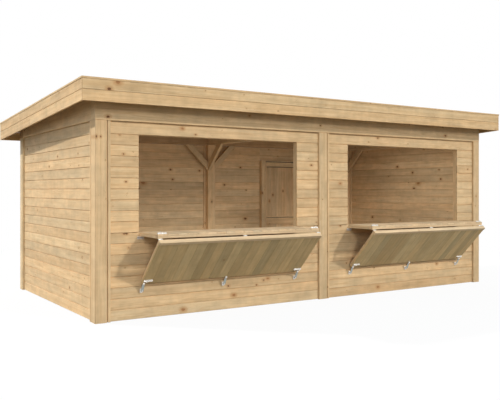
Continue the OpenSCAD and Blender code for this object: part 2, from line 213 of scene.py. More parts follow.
# A plank that follows the roof, drawn in Y and height over the rafters' underside
def roofPlank(bag, x1, x2, outline, bevel, u, far=None):
    points, others = ([(y, underZ(y) + up) for y, up in line] for line in (outline, far or outline))
    plankX(bag, x1, x2, points, bevel, u, others)


# A squared timber between two corners, its grain along one axis
def timber(bag, low, high, along, cut, end=0.002):
    axes = [axisX, axisY, axisZ]
    k = "xyz".index(along)
    i, j = (k + 1) % 3, (k + 2) % 3
    size = Vector(high) - Vector(low)
    outline = cutCorners(rectangle(0, size[i], 0, size[j]), cut)
    plank(bag, Vector(low), axes[i], axes[j], outline, axes[k], size[k], min(cut, end), axes[k])


# Timbers of one depth, each given by its places in X and Z
def timberRow(bag, y1, y2, rows, cut):
    for x1, x2, z1, z2, along in rows:
        timber(bag, (x1, y1, z1), (x2, y2, z2), along, cut)


# Boards side by side in X with a V between them on both faces, their length along n
def boardLeaf(bag, origin, q, n, length, x1, x2, boards):
    count, gap, thick, top, deep, low = pick(boards, "count gap thick veeTop veeDeep veeLow")
    tongue1, tongue2 = boards["tongueAt"], boards["tongueAt"] + boards["tongueT"]
    pitch = (x2 - x1) / count
    for k in range(count):
        a, b = x1 + k * pitch + gap, x1 + (k + 1) * pitch - gap
        out = b + boards["tongue"]
        outline = [(a + low, 0), (b - low, 0), (b, low)]
        if k < count - 1:
            outline += [(b, tongue1), (out, tongue1), (out, tongue2), (b, tongue2)]
        outline += [(b, thick - deep), (b - top, thick), (a + top, thick), (a, thick - deep), (a, low)]
        plank(bag, origin, axisX, q, outline, n, length, boards["bevel"], n)


# Round work in metal
def sideAxes(axis):
    p = axis.cross(axisX if abs(axis.x) < 0.8 else axisY).normalized()
    return p, axis.cross(p)


def circle(p, q, r, count):
    turns = [2 * math.pi * i / count for i in range(count)]
    return [(p * math.cos(t) + q * math.sin(t)) * r for t in turns]


# Rings of given radius at given steps along an axis
def lathe(bag, start, axis, profile, count=20):
    axis = axis.normalized()
    p, q = sideAxes(axis)
    loops = []
    for step, r in profile:
        loops.append([start + axis * step + spoke for spoke in circle(p, q, max(r, 1e-5), count)])
    addLoops(bag, loops, lambda s: tuple(s - start), plainTone)


# A round bar with its ends eased by a share of its radius
def rod(bag, a, b, r, ease):
    length = (b - a).length
    c = min(r * ease, length / 3)
    start = [(0, r - c), (c * 0.3, r - c * 0.3), (c, r)]
    lathe(bag, a, b - a, start + [(length - step, size) for step, size in reversed(start)], 18)


def screw(bag, spot, axis, r=0.0042, high=0.0018):
    dome = [(-0.001, r), (0, r), (high * 0.55, r * 0.86), (high, r * 0.45), (high * 0.72, r * 0.3)]
    lathe(bag, spot, axis, dome, 12)


# A round tube through points
def tube(bag, path, r, count):
    loops = []
    p = sideAxes((path[1] - path[0]).normalized())[0]
    for i, spot in enumerate(path):
        ahead = (path[min(i + 1, len(path) - 1)] - path[max(i - 1, 0)]).normalized()
        p = (p - ahead * p.dot(ahead)).normalized()
        loops.append([spot + spoke for spoke in circle(p, ahead.cross(p), r, count)])
    addLoops(bag, loops, lambda s: tuple(s - path[0]), plainTone)


# A plate with round corners: centre of its back, two axes and their sizes, then its thickness
def plate(bag, centre, p, q, wide, high, thick, corner=0.004, bevel=0.0006):
    outline = []
    for sx, sy, start in ((1, 1, 0), (-1, 1, 90), (-1, -1, 180), (1, -1, 270)):
        for k in range(5):
            t = math.radians(start + 22.5 * k)
            outline.append((sx * (wide / 2 - corner) + corner * math.cos(t),
                            sy * (high / 2 - corner) + corner * math.sin(t)))
    prism(bag, centre, p, q, outline, p.cross(q), thick, bevel, p)


# Links a piece, which stands for the node of the same name: leftProp for left_prop
def addPiece(bag, slot, *materials, body="stall"):
    name = bag["name"]
    node = "".join("_" + letter.lower() if letter.isupper() else letter for letter in name)
    mesh = bpy.data.meshes.new(name)
    mesh.from_pydata(bag["verts"], [], bag["faces"])
    for key in ("grain", "tone", "knotA", "knotB"):
        mesh.attributes.new(key, "FLOAT_VECTOR", "POINT").data.foreach_set("vector", bag[key])
    if slot in smoothSlots:
        mesh.shade_smooth()
        mesh.set_sharp_from_angle(angle=math.radians(smoothAngle))
    for material in materials:
        mesh.materials.append(material)
    mesh.polygons.foreach_set("material_index", bag["kinds"])
    piece = bpy.data.objects.new(name, mesh)
    bpy.context.scene.collection.objects.link(piece)
    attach(piece, body)
    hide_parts(node)


# Shader tools
def treeTool(tree):
    def put(kind, inputs=None, out=0, **settings):
        node = tree.nodes.new(kind)
        for key, value in settings.items():
            setattr(node, key, value)
        for key, value in (inputs or {}).items():
            if isinstance(value, bpy.types.NodeSocket):
                tree.links.new(value, node.inputs[key])
            else:
                node.inputs[key].default_value = value
        return node.outputs[out]

    def calc(kind, *values):
        return put("ShaderNodeMath", dict(enumerate(values)), operation=kind)

    def mix(amount, a, b, kind="MIX"):
        return put("ShaderNodeMix", {0: amount, 6: a, 7: b}, 2, data_type="RGBA", blend_type=kind,
                   clamp_factor=True)

    def ramp(value, low, high, outLow=0.0, outHigh=1.0):
        return put("ShaderNodeMapRange", {0: value, 1: low, 2: high, 3: outLow, 4: outHigh},
                   interpolation_type="SMOOTHSTEP")

    def noise(vector, scale, detail, rough=0.5, out=0):
        return put("ShaderNodeTexNoise",
                   {"Vector": vector, "Scale": scale, "Detail": detail, "Roughness": rough}, out)
    return put, calc, mix, ramp, noise


# A node group with the colour, roughness and height that a material takes from it
def newGroup(name, vectors, colors, values):
    group = bpy.data.node_groups.new(name, "ShaderNodeTree")
    for way, kind, labels in (
            ("INPUT", "Vector", vectors), ("INPUT", "Color", colors), ("INPUT", "Float", values),
            ("OUTPUT", "Color", ["Color"]), ("OUTPUT", "Float", ["Roughness", "Height"])):
        for label in labels:
            group.interface.new_socket(label, in_out=way, socket_type="NodeSocket" + kind)
    return group, group.nodes.new("NodeGroupInput").outputs, group.nodes.new("NodeGroupOutput").inputs


pineVectors = {"Grain": "grain", "Tone": "tone", "KnotA": "knotA", "KnotB": "knotB"}  # from the mesh
pineValues = ("RingPitch", "RingShow", "StreakShow", "BlotchShow", "KnotShare", "ToneSpread")


# Sawn pine: growth rings about an off-centre pith, streaks, blotches, fine fibre and knots
def pineGroup():
    group, given, result = newGroup("pineGrain", pineVectors, ("Light", "Dark", "Knot"), pineValues)
    put, calc, mix, ramp, noise = treeTool(group)
    link = group.links.new

    def part(socket, kind="XYZ"):
        return put("ShaderNodeSeparate" + kind, {0: socket}).node.outputs

    def join(x, y, z):
        return put("ShaderNodeCombineXYZ", {0: x, 1: y, 2: z})

    def plus(x, y):
        return calc("ADD", x, y)

    def less(x, y):
        return calc("SUBTRACT", x, y)

    def times(x, y):
        return calc("MULTIPLY", x, y)

    def swing(x, size):  # a value from 0 to 1 made to swing about 0
        return times(less(x, 0.5), size)

    def distance(x, y):
        return calc("SQRT", plus(times(x, x), times(y, y)))
    a, v, w = part(given["Grain"])
    r1, r2, r3 = part(given["Tone"])
    wobble = less(noise(given["Grain"], 70.0, 2.0), 0.5)

    def drawnOut(along, across):  # noise space with its own scale along and across the grain
        return join(times(a, along), times(v, across), times(w, across))

    # Core and halo of a knot about a spot
    def knotAt(spotA, spotV, radius):
        away = distance(times(less(a, spotA), 0.7), less(v, spotV))
        away = plus(away, times(wobble, radius))
        core = ramp(away, times(radius, 0.55), radius, 1.0, 0.0)
        return core, ramp(away, times(radius, 0.7), calc("MULTIPLY_ADD", radius, 2.5, 0.005), 1.0, 0.0)

    # One chance of a small knot in each stretch of the plank
    stretch = 0.36
    cell = calc("FLOOR", calc("DIVIDE", a, stretch))
    key = join(cell, times(r1, 91.7), times(r3, 57.3))
    dots = put("ShaderNodeTexWhiteNoise", {"Vector": key}, "Color", noise_dimensions="3D")
    d1, d2, d3 = part(dots, "Color")
    chance = put("ShaderNodeTexWhiteNoise", {"Vector": plus(cell, 0.37), "W": times(r2, 63.1)}, "Value",
                 noise_dimensions="4D")
    spotA = times(plus(cell, calc("MULTIPLY_ADD", d1, 0.7, 0.15)), stretch)
    size = calc("MULTIPLY_ADD", calc("POWER", d3, 3.0), 0.012, 0.003)
    core, halo = knotAt(spotA, swing(d2, 0.1), size)
    present = calc("LESS_THAN", chance, given["KnotShare"])
    core, halo, soft = times(core, present), times(halo, present), 0.0

    # Up to two listed knots
    for label in ("KnotA", "KnotB"):
        atA, atV, size = part(given[label])
        radius = calc("ABSOLUTE", size)
        core2, halo2 = knotAt(atA, atV, calc("MAXIMUM", radius, 0.001))
        there, red = calc("GREATER_THAN", radius, 0.002), calc("LESS_THAN", size, 0.0)
        core2, halo2 = times(core2, there), times(halo2, there)
        core = calc("MAXIMUM", core, times(core2, less(1.0, red)))
        soft = calc("MAXIMUM", soft, times(core2, red))
        halo = calc("MAXIMUM", halo, halo2)

    # Growth rings, pushed round the knots
    drift = part(noise(join(times(a, 0.55), times(r3, 40.0), 7.0), 1.0, 2.0, 0.5, "Color"), "Color")
    pithV = plus(swing(r1, 0.12), swing(drift[0], 0.07))
    pithW = plus(calc("MULTIPLY_ADD", r2, 0.07, 0.018), swing(drift[1], 0.05))
    warp = noise(drawnOut(2.6, 16.0), 1.0, 3.0)
    bent = plus(times(warp, 0.008), times(times(halo, halo), 0.012))
    bent = plus(distance(less(v, pithV), plus(w, pithW)), bent)
    turn = calc("FRACT", calc("DIVIDE", bent, given["RingPitch"]))
    late = times(ramp(turn, 0.35, 0.86), ramp(turn, 0.9, 1.0, 1.0, 0.0))

    streak = noise(drawnOut(0.7, 30.0), 1.0, 3.0, 0.6)
    fibre = noise(drawnOut(16.0, 700.0), 1.0, 2.0)
    depth = plus(times(late, given["RingShow"]), times(ramp(streak, 0.3, 0.75), given["StreakShow"]))
    wood = mix(plus(depth, swing(fibre, 0.18)), given["Light"], given["Dark"])

    # Blotches, faint bars across the grain, and each plank's own tone and warmth
    blotch = join(calc("MULTIPLY_ADD", a, 3.6, times(r1, 37.0)), times(v, 11.0), times(r2, 23.0))
    bars = noise(join(times(a, 13.0), times(v, 4.0), times(r3, 29.0)), 1.0, 3.0)
    figure = plus(less(noise(blotch, 1.0, 3.0, 0.6), 0.5), swing(bars, 0.35))
    lift = calc("MULTIPLY_ADD", less(r2, 0.5), given["ToneSpread"], 1.0)
    lift = times(lift, calc("MULTIPLY_ADD", figure, given["BlotchShow"], 1.0))
    cloud = noise(join(times(a, 1.7), times(v, 7.0), times(r2, 51.0)), 1.0, 2.0)
    warm = plus(calc("MULTIPLY_ADD", less(r3, 0.5), 0.06, 1.0), swing(cloud, 0.11))
    tint = put("ShaderNodeCombineColor", {0: times(lift, warm), 1: lift, 2: calc("DIVIDE", lift, warm)})
    wood = mix(1.0, wood, tint, "MULTIPLY")
    for mask, show, shade in ((halo, 0.6, (0.84, 0.62, 0.46, 1)), (soft, 0.7, (0.55, 0.36, 0.26, 1))):
        wood = mix(times(mask, show), wood, mix(1.0, given["Dark"], shade, "MULTIPLY"))
    link(mix(times(core, 0.9), wood, given["Knot"]), result["Color"])
    link(calc("MULTIPLY_ADD", fibre, 0.16, calc("MULTIPLY_ADD", late, -0.06, 0.52)), result["Roughness"])
    link(plus(times(late, 0.5), plus(times(fibre, 0.5), times(core, 0.6))), result["Height"])
    return group


# Mottled metal, or dark strips of painted shadow, with a fine grit
def mottleGroup():
    group, given, result = newGroup("mottle", ["Spot"], ["Tint"], ["Mottle", "Rough"])
    put, calc, mix, ramp, noise = treeTool(group)
    cloud = noise(given["Spot"], 55.0, 4.0, 0.6)
    dark = mix(1.0, given["Tint"], (0.62, 0.62, 0.62, 1), "MULTIPLY")
    group.links.new(mix(ramp(cloud, 0.3, 0.72, 0.0, given["Mottle"]), given["Tint"], dark), result["Color"])
    group.links.new(calc("MULTIPLY_ADD", cloud, 0.22, given["Rough"]), result["Roughness"])
    group.links.new(noise(given["Spot"], 900.0, 2.0), result["Height"])
    return group


pine, mottled = pineGroup(), mottleGroup()
print("stage: node groups ready")


def newMaterial(name):
    material = bpy.data.materials.new(name)
    material.use_nodes = True
    tree = material.node_tree
    tree.nodes.clear()
    end = tree.nodes.new("ShaderNodeOutputMaterial")
    skin = tree.nodes.new("ShaderNodeBsdfPrincipled")
    tree.links.new(skin.outputs[0], end.inputs[0])
    return material, tree, skin


# Leads a colour, a roughness and a height with its bump into a material
def dress(tree, skin, color, rough, height, strength, deep):
    put = treeTool(tree)[0]
    tree.links.new(color, skin.inputs["Base Color"])
    tree.links.new(rough, skin.inputs["Roughness"])
    rise = put("ShaderNodeBump", {"Strength": strength, "Distance": deep, "Height": height})
    tree.links.new(rise, skin.inputs["Normal"])


def woodMaterial(name, light, dark, *shows):
    material, tree, skin = newMaterial(name)
    put = treeTool(tree)[0]
    inputs = {"Light": light + (1,), "Dark": dark + (1,), "Knot": (0.115, 0.042, 0.016, 1)}
    for key, source in pineVectors.items():
        inputs[key] = put("ShaderNodeAttribute", {}, "Vector", attribute_name=source)
    inputs.update(zip(pineValues, shows))
    made = put("ShaderNodeGroup", inputs, node_tree=pine).node.outputs
    dress(tree, skin, made["Color"], made["Roughness"], made["Height"], 0.35, 0.001)
    skin.inputs["Specular IOR Level"].default_value = 0.15
    return material


# Light and dark colour, ring pitch, then the show of rings, streaks, blotches, knots and tone
woodLooks = {
    "wall": ((0.77, 0.557, 0.318), (0.61, 0.39, 0.19), 0.0055, 0.34, 0.5, 0.62, 0.2, 0.2),
    "frame": ((0.785, 0.572, 0.33), (0.61, 0.40, 0.20), 0.006, 0.36, 0.5, 0.6, 0.2, 0.14),
    "fascia": ((0.745, 0.535, 0.30), (0.565, 0.355, 0.165), 0.005, 0.36, 0.55, 0.7, 0.22, 0.14),
    # Roof: pine made very dark, painted shade of the roof's underside
    "roof": ((0.265, 0.172, 0.08), (0.182, 0.105, 0.043), 0.005, 0.4, 0.55, 0.6, 0.3, 0.22),
    # A darker, redder copy of the frame pine: painted shade on the back beam under the roof
    "beam": ((0.62, 0.405, 0.215), (0.45, 0.265, 0.12), 0.006, 0.36, 0.5, 0.6, 0.2, 0.14),
    "hatch": ((0.80, 0.60, 0.37), (0.67, 0.47, 0.265), 0.005, 0.24, 0.4, 0.5, 0.08, 0.2),
    # Prop: a darker copy of the hatch pine, painted shade of the prop's downward face
    "prop": ((0.685, 0.513, 0.272), (0.535, 0.374, 0.174), 0.005, 0.2, 0.4, 0.5, 0.05, 0.34),
    "door": ((0.75, 0.525, 0.295), (0.56, 0.345, 0.16), 0.005, 0.38, 0.55, 0.6, 0.15, 0.16),
}
woods = {key: woodMaterial(key + "Pine", *look) for key, look in woodLooks.items()}


def mottledMaterial(name, color, rough, metallic, mottle):
    material, tree, skin = newMaterial(name)
    put = treeTool(tree)[0]
    spot = put("ShaderNodeTexCoord", {}, "Object")
    inputs = {"Spot": spot, "Tint": color + (1,), "Mottle": mottle, "Rough": rough}
    made = put("ShaderNodeGroup", inputs, node_tree=mottled).node.outputs
    dress(tree, skin, made["Color"], made["Roughness"], made["Height"], 0.12, 0.0004)
    skin.inputs["Metallic"].default_value = metallic
    return material


zinc = mottledMaterial("zincPlate", (0.83, 0.80, 0.75), 0.3, 0.7, 0.4)
# Darker, greenish metal for the hook straps: a painted reflection of the dark ground
strapPaintedReflection = mottledMaterial("strapPaintedReflection", (0.43, 0.46, 0.43), 0.3, 0.45, 0.4)
iron = mottledMaterial("blackIron", (0.028, 0.028, 0.03), 0.36, 0.0, 0.5)
# Dark strips that paint the shadow lines at the door's head and in its rail grooves
shadeStrips = mottledMaterial("paintedShadowStrips", (0.10, 0.07, 0.043), 0.6, 0.0, 0.5)


# Felt with mineral grit and a few pale stains
def feltMaterial(name):
    material, tree, skin = newMaterial(name)
    put, calc, mix, ramp, noise = treeTool(tree)
    spot = put("ShaderNodeTexCoord", {}, "Object")
    grit = put("ShaderNodeTexVoronoi", {"Vector": spot, "Scale": 620.0}, "Color")
    speck = put("ShaderNodeSeparateColor", {0: grit}, 0)
    stain = noise(spot, 1.4, 4.0, 0.6)
    base = mix(speck, (0.030, 0.032, 0.034, 1), (0.105, 0.108, 0.112, 1))
    base = mix(ramp(stain, 0.42, 0.72, 0.0, 0.4), base, (0.095, 0.094, 0.088, 1))
    dress(tree, skin, base, calc("MULTIPLY_ADD", speck, 0.12, 0.82), speck, 0.5, 0.0012)
    return material


felt = feltMaterial("roofFelt")
print("stage: materials ready")

# Frame timbers
posts = {"cut": 0.006, "end": 0.0004}
beams = {"cut": 0.006, "end": 0.003}
braces = {"leg": 0.41, "high": 0.095, "thick": 0.045, "cut": 0.003}
addKnots("y", frontY, (
    (-2.862, 2.146, 0.015), (2.258, 2.167, 0.015), (2.929, 1.289, 0.009), (-2.941, 1.935, 0.008),
    (-2.987, 1.933, 0.009)))
for name, y in (("frontPosts", frontY), ("backPosts", backIn)):
    bag = newBag(name)
    for x in postX:
        top = (x + post, y + post, beamZ)
        timber(bag, (x, y, 0), top, "z", posts["cut"], posts["end"])
    addPiece(bag, "frame_timber", woods["frame"])


# Level below, with a top that follows the roof
def beamOutline(y1, y2):
    return [(y1, beamZ), (y2, beamZ), (y2, underZ(y2)), (y1, underZ(y1))]


# The back beam takes the darker, redder pine, painted shade
for name, y, wood in (("frontBeam", frontY, "frame"), ("backBeam", backIn, "beam")):
    bag = newBag(name)
    outline = cutCorners(beamOutline(y, y + post), beams["cut"])
    plankX(bag, -halfW, halfW, outline, beams["end"])
    addPiece(bag, "frame_timber", woods[wood])

bag = newBag("crossBeams")
for x in postX:
    plankX(bag, x, x + post, beamOutline(frontIn, backIn), beams["cut"], axisY)
addPiece(bag, "frame_timber", woods["frame"])


# A brace that rises along run from a post's face, and lies from start on in the side direction
def brace(bag, run, side, at, way, start):
    leg, edge = braces["leg"], braces["high"] * math.sqrt(2)
    low, tip = beamZ - leg, at + way * leg
    outline = [(at, low), (tip, beamZ), (at + way * (leg - edge), beamZ), (at, low + edge)]
    u = (run * way + axisZ).normalized()
    plank(bag, side * start, run, axisZ, outline, side, braces["thick"], braces["cut"], u)


bag = newBag("kneeBraces")
for x in (-bayX - braces["thick"], -halfPost, bayX):
    brace(bag, axisY, axisX, backIn, -1, x)
    brace(bag, axisY, axisX, frontIn, 1, x)
for at, way in ((-bayX, 1), (-halfPost, -1), (halfPost, 1), (bayX, -1)):
    brace(bag, axisX, axisY, at, way, backIn)
addPiece(bag, "frame_timber", woods["frame"])
print("stage: frame ready")

# Roof: rafters, boards, felt and fascia
roof = {
    "rafterH": 0.095, "rafterT": 0.045, "rafterCut": 0.003, "bays": 8,
    "deckT": 0.02, "boardW": 0.116, "boardGap": 0.0008, "vee": 0.005, "deckCut": 0.001,
    "jointBays": (2, 3, 4, 5, 6), "feltT": 0.004, "feltW": 1.0, "lap": 0.1, "lapRise": 0.9,
    "feltCut": 0.0004, "leastBoard": 0.01, "leastFelt": 0.02,
}
fascias = {
    "high": 0.242, "thick": 0.02, "lip": 0.008, "lowBoard": 0.116, "seam": 0.0012, "cut": 0.0028,
    "gap": 0.0004, "dripH": 0.02, "dripT": 0.005, "dripCut": 0.0016,
}
edgeT, boardCut, drip = pick(fascias, "thick cut dripT")
deckZ = roof["rafterH"]
feltZ = deckZ + roof["deckT"]
fasciaTop = feltZ + roof["feltT"] + fascias["lip"]
fasciaLow = fasciaTop - fascias["high"]
inX = roofX - edgeT
inY1, inY2 = roofY1 + edgeT, roofY2 - edgeT
rafterPitch = (2 * inX - roof["rafterT"]) / roof["bays"]

# Rafters and deck take the very dark roof pine, painted shade
bag = newBag("rafters")
for i in range(roof["bays"] + 1):
    x = -inX + i * rafterPitch
    roofPlank(bag, x, x + roof["rafterT"], rectangle(inY1, inY2, 0, deckZ), roof["rafterCut"], downSlope)
addPiece(bag, "roof_timber", woods["roof"])

# Deck boards with a V below, each row in two lengths that meet over a rafter
bag = newBag("roofDeck")
y, vee = inY1, roof["vee"]
while y < inY2 - roof["leastBoard"]:
    nextY = min(y + roof["boardW"], inY2)
    y1, y2 = y + roof["boardGap"], nextY - roof["boardGap"]
    veeZ = deckZ + vee
    outline = [(y1 + vee, deckZ), (y2 - vee, deckZ), (y2, veeZ), (y2, feltZ), (y1, feltZ), (y1, veeZ)]
    joint = -inX + rafterPitch * bag["dice"].choice(roof["jointBays"]) + roof["rafterT"] / 2
    for x1, x2 in ((-inX, joint), (joint, inX)):
        roofPlank(bag, x1, x2, outline, roof["deckCut"], axisX)
    y = nextY
addPiece(bag, "roof_timber", woods["roof"])

# Felt in strips from the low edge up, each lapped by the next
bag = newBag("roofFelt")
y2, t = inY2, roof["feltT"] / 2
rise = t * roof["lapRise"]
while y2 > inY1 + roof["leastFelt"]:
    y1 = max(y2 - roof["feltW"], inY1)
    outline = [(y1, feltZ), (y2, feltZ + rise), (y2, feltZ + rise + t), (y1, feltZ + t)]
    roofPlank(bag, -inX, inX, outline, roof["feltCut"], axisX)
    y2 = y1 + roof["lap"] if y1 > inY1 else inY1
addPiece(bag, "roof_felt", felt)

# Two courses of fascia boards and a drip strip: levels, reach past the roof's edge, thickness and bevel
seam = fasciaLow + fascias["lowBoard"]
fasciaRows = (
    (fasciaLow, seam - fascias["seam"], 0, edgeT, boardCut),
    (seam + fascias["seam"], fasciaTop, 0, edgeT, boardCut),
    (fasciaTop - fascias["dripH"], fasciaTop, drip, drip, fascias["dripCut"]))
addKnots("y", roofY1, (
    (-2.830, 2.483, -0.022), (-2.923, 2.406, 0.017), (-0.326, 2.473, 0.009), (0.900, 2.476, -0.009)))


# One side of the fascia, mitred at the corners; joints lists where the boards of each course meet
def fascia(name, side, out, joints):
    bag, gap = newBag(name), fascias["gap"]
    ends = (-roofX, roofX) if side == "x" else (roofY1, roofY2)
    edge = {("x", -1): roofY1, ("x", 1): roofY2, ("y", -1): -roofX, ("y", 1): roofX}[side, out]
    for (up1, up2, reach, thick, bevel), meets in zip(fasciaRows, joints):
        stops = [ends[0] - reach, *meets, ends[1] + reach]
        for i, (s1, s2) in enumerate(zip(stops, stops[1:])):
            t1, t2 = s1 + thick * (i == 0), s2 - thick * (i == len(meets))
            rings = [rectangle(a + gap, b - gap, up1, up2) for a, b in ((s1, s2), (t1, t2))]
            near, far = rings if out < 0 else rings[::-1]
            at = edge + reach * out - (thick if out > 0 else 0)
            if side == "y":
                roofPlank(bag, at, at + thick, near, bevel, downSlope, far)
            else:
                plank(bag, Vector((0, at, underZ(edge))), axisX, axisZ, near, axisY, thick, bevel, axisX, far)
    addPiece(bag, "fascia_boards", woods["fascia"])


fascia("frontFascia", "x", -1, [[], [], []])
fascia("backFascia", "x", 1, [[-0.7], [0.9], []])
fascia("leftFascia", "y", -1, [[0.31], [], []])
fascia("rightFascia", "y", 1, [[0.2], [], []])
print("stage: roof ready")

# Walls of tongued boards with a V between them on both faces
walls = {
    "gap": 0.0055, "vee": 0.003, "veeDeep": 0.004, "backVee": 0.005, "tongueAt": 0.008, "tongueT": 0.003,
    "tongue": 0.007, "bevel": 0.0012, "sillCourse": 8, "headCourse": 17,
}
hatches = {"left": (-2.5065, -0.3965), "right": (0.4285, 2.5385)}  # sides of the serving openings
courses = [i * stall["cover"] for i in range(walls["headCourse"] + 1)] + [beamZ]
sillZ, openTop = courses[walls["sillCourse"]], courses[walls["headCourse"]]
addKnots("y", wallY, (
    (0.959, 2.081, 0.011), (-1.985, 2.067, -0.014), (-1.817, 2.006, 0.008), (-2.652, 1.470, 0.009),
    (-2.647, 0.920, 0.012), (-2.680, 1.763, 0.008), (-0.171, 1.694, 0.011), (0.302, 1.467, -0.013),
    (0.302, 0.917, 0.009), (2.773, 1.692, 0.008), (2.105, 0.321, -0.014), (0.962, 0.074, -0.017),
    (-0.834, 0.315, -0.014), (-1.314, 0.157, -0.017), (-1.973, 0.048, -0.020), (-0.997, 0.250, 0.008)))
addKnots("x", -sideX, ((-0.046, 1.782, 0.012), (0.298, 1.671, 0.011), (1.313, 1.939, 0.013)))
addKnots("y", backWallY - boardT, (
    (-1.165, 1.494, -0.026), (-1.240, 1.405, 0.015), (-0.697, 1.703, 0.014), (-0.179, 1.694, 0.013),
    (-0.659, 1.549, 0.013), (0.698, 0.899, 0.020), (0.601, 1.758, 0.013), (0.289, 1.466, 0.013)))
addKnots("x", sideX - boardT, (
    (0.256, 1.778, 0.016), (-0.097, 1.671, 0.015), (-0.701, 1.557, 0.013), (-0.222, 1.497, -0.026),
    (-0.126, 1.406, 0.017), (0.871, 0.898, 0.018), (-0.666, 1.705, 0.011)))


def boardSection(high, tongue):
    gap, vee, deep, back, near = pick(walls, "gap vee veeDeep backVee tongueAt")
    low, top = gap / 2, high - gap / 2
    made = [(0, low + vee), (deep, low), (boardT - back, low), (boardT, low + back), (boardT, top - back),
            (boardT - back, top)]
    if tongue:
        far, tip = near + walls["tongueT"], top + walls["tongue"]
        made += [(far, top), (far, tip), (near, tip), (near, top)]
    return made + [(deep, top), (0, top - vee)]


# A wall of boards along run from an origin on its outer face, with an opening where one is given
def wall(name, origin, run, inward, spans, opening=None, levels=courses):
    bag = newBag(name)
    sill, head, bevel = pick(walls, "sillCourse headCourse bevel")
    for k, (z1, z2) in enumerate(zip(levels, levels[1:])):
        split = opening and sill <= k < head
        row = [(spans[0][0], opening[0]), (opening[1], spans[0][1])] if split else spans
        tongue = z2 < beamZ and not (opening and k == sill - 1)
        for s1, s2 in row:
            section = boardSection(z2 - z1, tongue)
            plank(bag, origin + run * s1 + axisZ * z1, inward, axisZ, section, run, s2 - s1, bevel, run)
    addPiece(bag, "wall_boards", woods["wall"])


door = {
    "x1": 1.1075, "x2": 1.9075, "high": 1.8, "jamb": 0.118, "head": 0.09, "stop": 0.015, "deep": 0.08,
    "gap": 0.007, "slope": 0.043, "rim": 0.036, "slopeCut": 0.0008, "frameCut": 0.001, "stopCut": 0.002,
    "railH": 0.11, "railT": 0.024, "railCut": 0.003, "groove": 0.009, "grooveT": 0.016, "bead": 0.022,
}
frameX1, frameX2 = door["x1"] - door["jamb"], door["x2"] + door["jamb"]
frameTop = door["high"] + door["head"]
front, back = axisY * wallY, axisY * backWallY
leftBay, rightBay = (-bayX, -halfPost), (halfPost, bayX)
wall("frontLeftWall", front, axisX, axisY, [leftBay], hatches["left"])
wall("frontRightWall", front, axisX, axisY, [rightBay], hatches["right"])
wall("leftWall", -axisX * sideX, axisY, axisX, [(frontIn, backIn)])
wall("rightWall", axisX * sideX, axisY, -axisX, [(frontIn, backIn)])
wall("backLeftWall", back, axisX, -axisY, [leftBay])
wall("backRightWall", back, axisX, -axisY, [(halfPost, frameX1), (frameX2, bayX)])
wall("overDoorWall", back, axisX, -axisY, [(frameX1, frameX2)], None, [frameTop, openTop, beamZ])

# Upright strips beside the posts: fillers outside, battens inside
strips = {"wide": 0.04, "thick": 0.02, "cut": 0.003, "gap": 0.009}
wide, thick, cut, gap = pick(strips, "wide thick cut gap")
bag = newBag("fillerStrips")
for x in (-bayX, halfPost):
    timber(bag, (x + gap, wallY - thick, 0), (x + wide, wallY, beamZ), "z", cut)
    timber(bag, (x + gap, backWallY, 0), (x + wide, backWallY + thick, beamZ), "z", cut)
for x in (-halfW, sideX):
    timber(bag, (x, frontIn + gap, 0), (x + inset, frontIn + wide, beamZ), "z", cut)
addPiece(bag, "frame_timber", woods["frame"])

bag = newBag("wallBattens")
for x in (-bayX, -halfPost - wide, halfPost, bayX - wide):
    for y in (wallY + boardT, backWallY - boardT - thick):
        timber(bag, (x, y, 0), (x + wide, y + thick, beamZ), "z", cut)
for x in (-sideX + boardT, sideX - boardT - thick):
    for y in (frontIn, backIn - wide):
        timber(bag, (x, y, 0), (x + thick, y + wide, beamZ), "z", cut)
addPiece(bag, "frame_timber", woods["frame"])
print("stage: walls ready")

# Hatches: reveal frame, counter leaf and prop leaf
hatch = {
    "stud": 0.045, "studDeep": 0.06, "gap": 0.011, "deep": 0.455, "thick": 0.045, "rise": 0.003,
    "batten": 0.06, "battenIn": 0.001, "cut": 0.003, "propLen": 0.64, "propT": 0.042, "foldGap": 0.016,
    "footGap": 0.025, "lip": 0.008, "strip": 0.026, "stripOut": 0.005, "stripCut": 0.001, "propCut": 0.0012,
}
counterBoards = {
    "count": 18, "thick": 0.02, "veeTop": 0.007, "veeDeep": 0.0115, "veeLow": 0.002, "gap": 0.0008,
    "tongueAt": 0.004, "tongueT": 0.004, "tongue": 0.004, "bevel": 0.0012,
}
propBoards = dict(counterBoards, thick=0.022, veeTop=0.0014, veeDeep=0.0014, tongueAt=0.009)
propLen, propT, foldGap = pick(hatch, "propLen propT foldGap")
counterTop = sillZ + hatch["rise"]
counterLow = counterTop - hatch["thick"]
counterFront = wallY - hatch["deep"]
foldReach = hatch["deep"] + foldGap
propRun = foldReach - hatch["footGap"]
propDrop = math.sqrt(propLen ** 2 - propRun ** 2)
runN, dropN = propRun / propLen, propDrop / propLen
foldAngle = math.atan2(propDrop, propRun)
foldY, foldZ = wallY - foldReach, counterLow - foldGap
downProp, outProp = Vector((0, runN, -dropN)), Vector((0, -dropN, -runN))


# A place on the prop: down its length and out through its thickness
def onProp(x, s, t):
    return Vector((x, foldY, foldZ)) + downProp * s + outProp * t


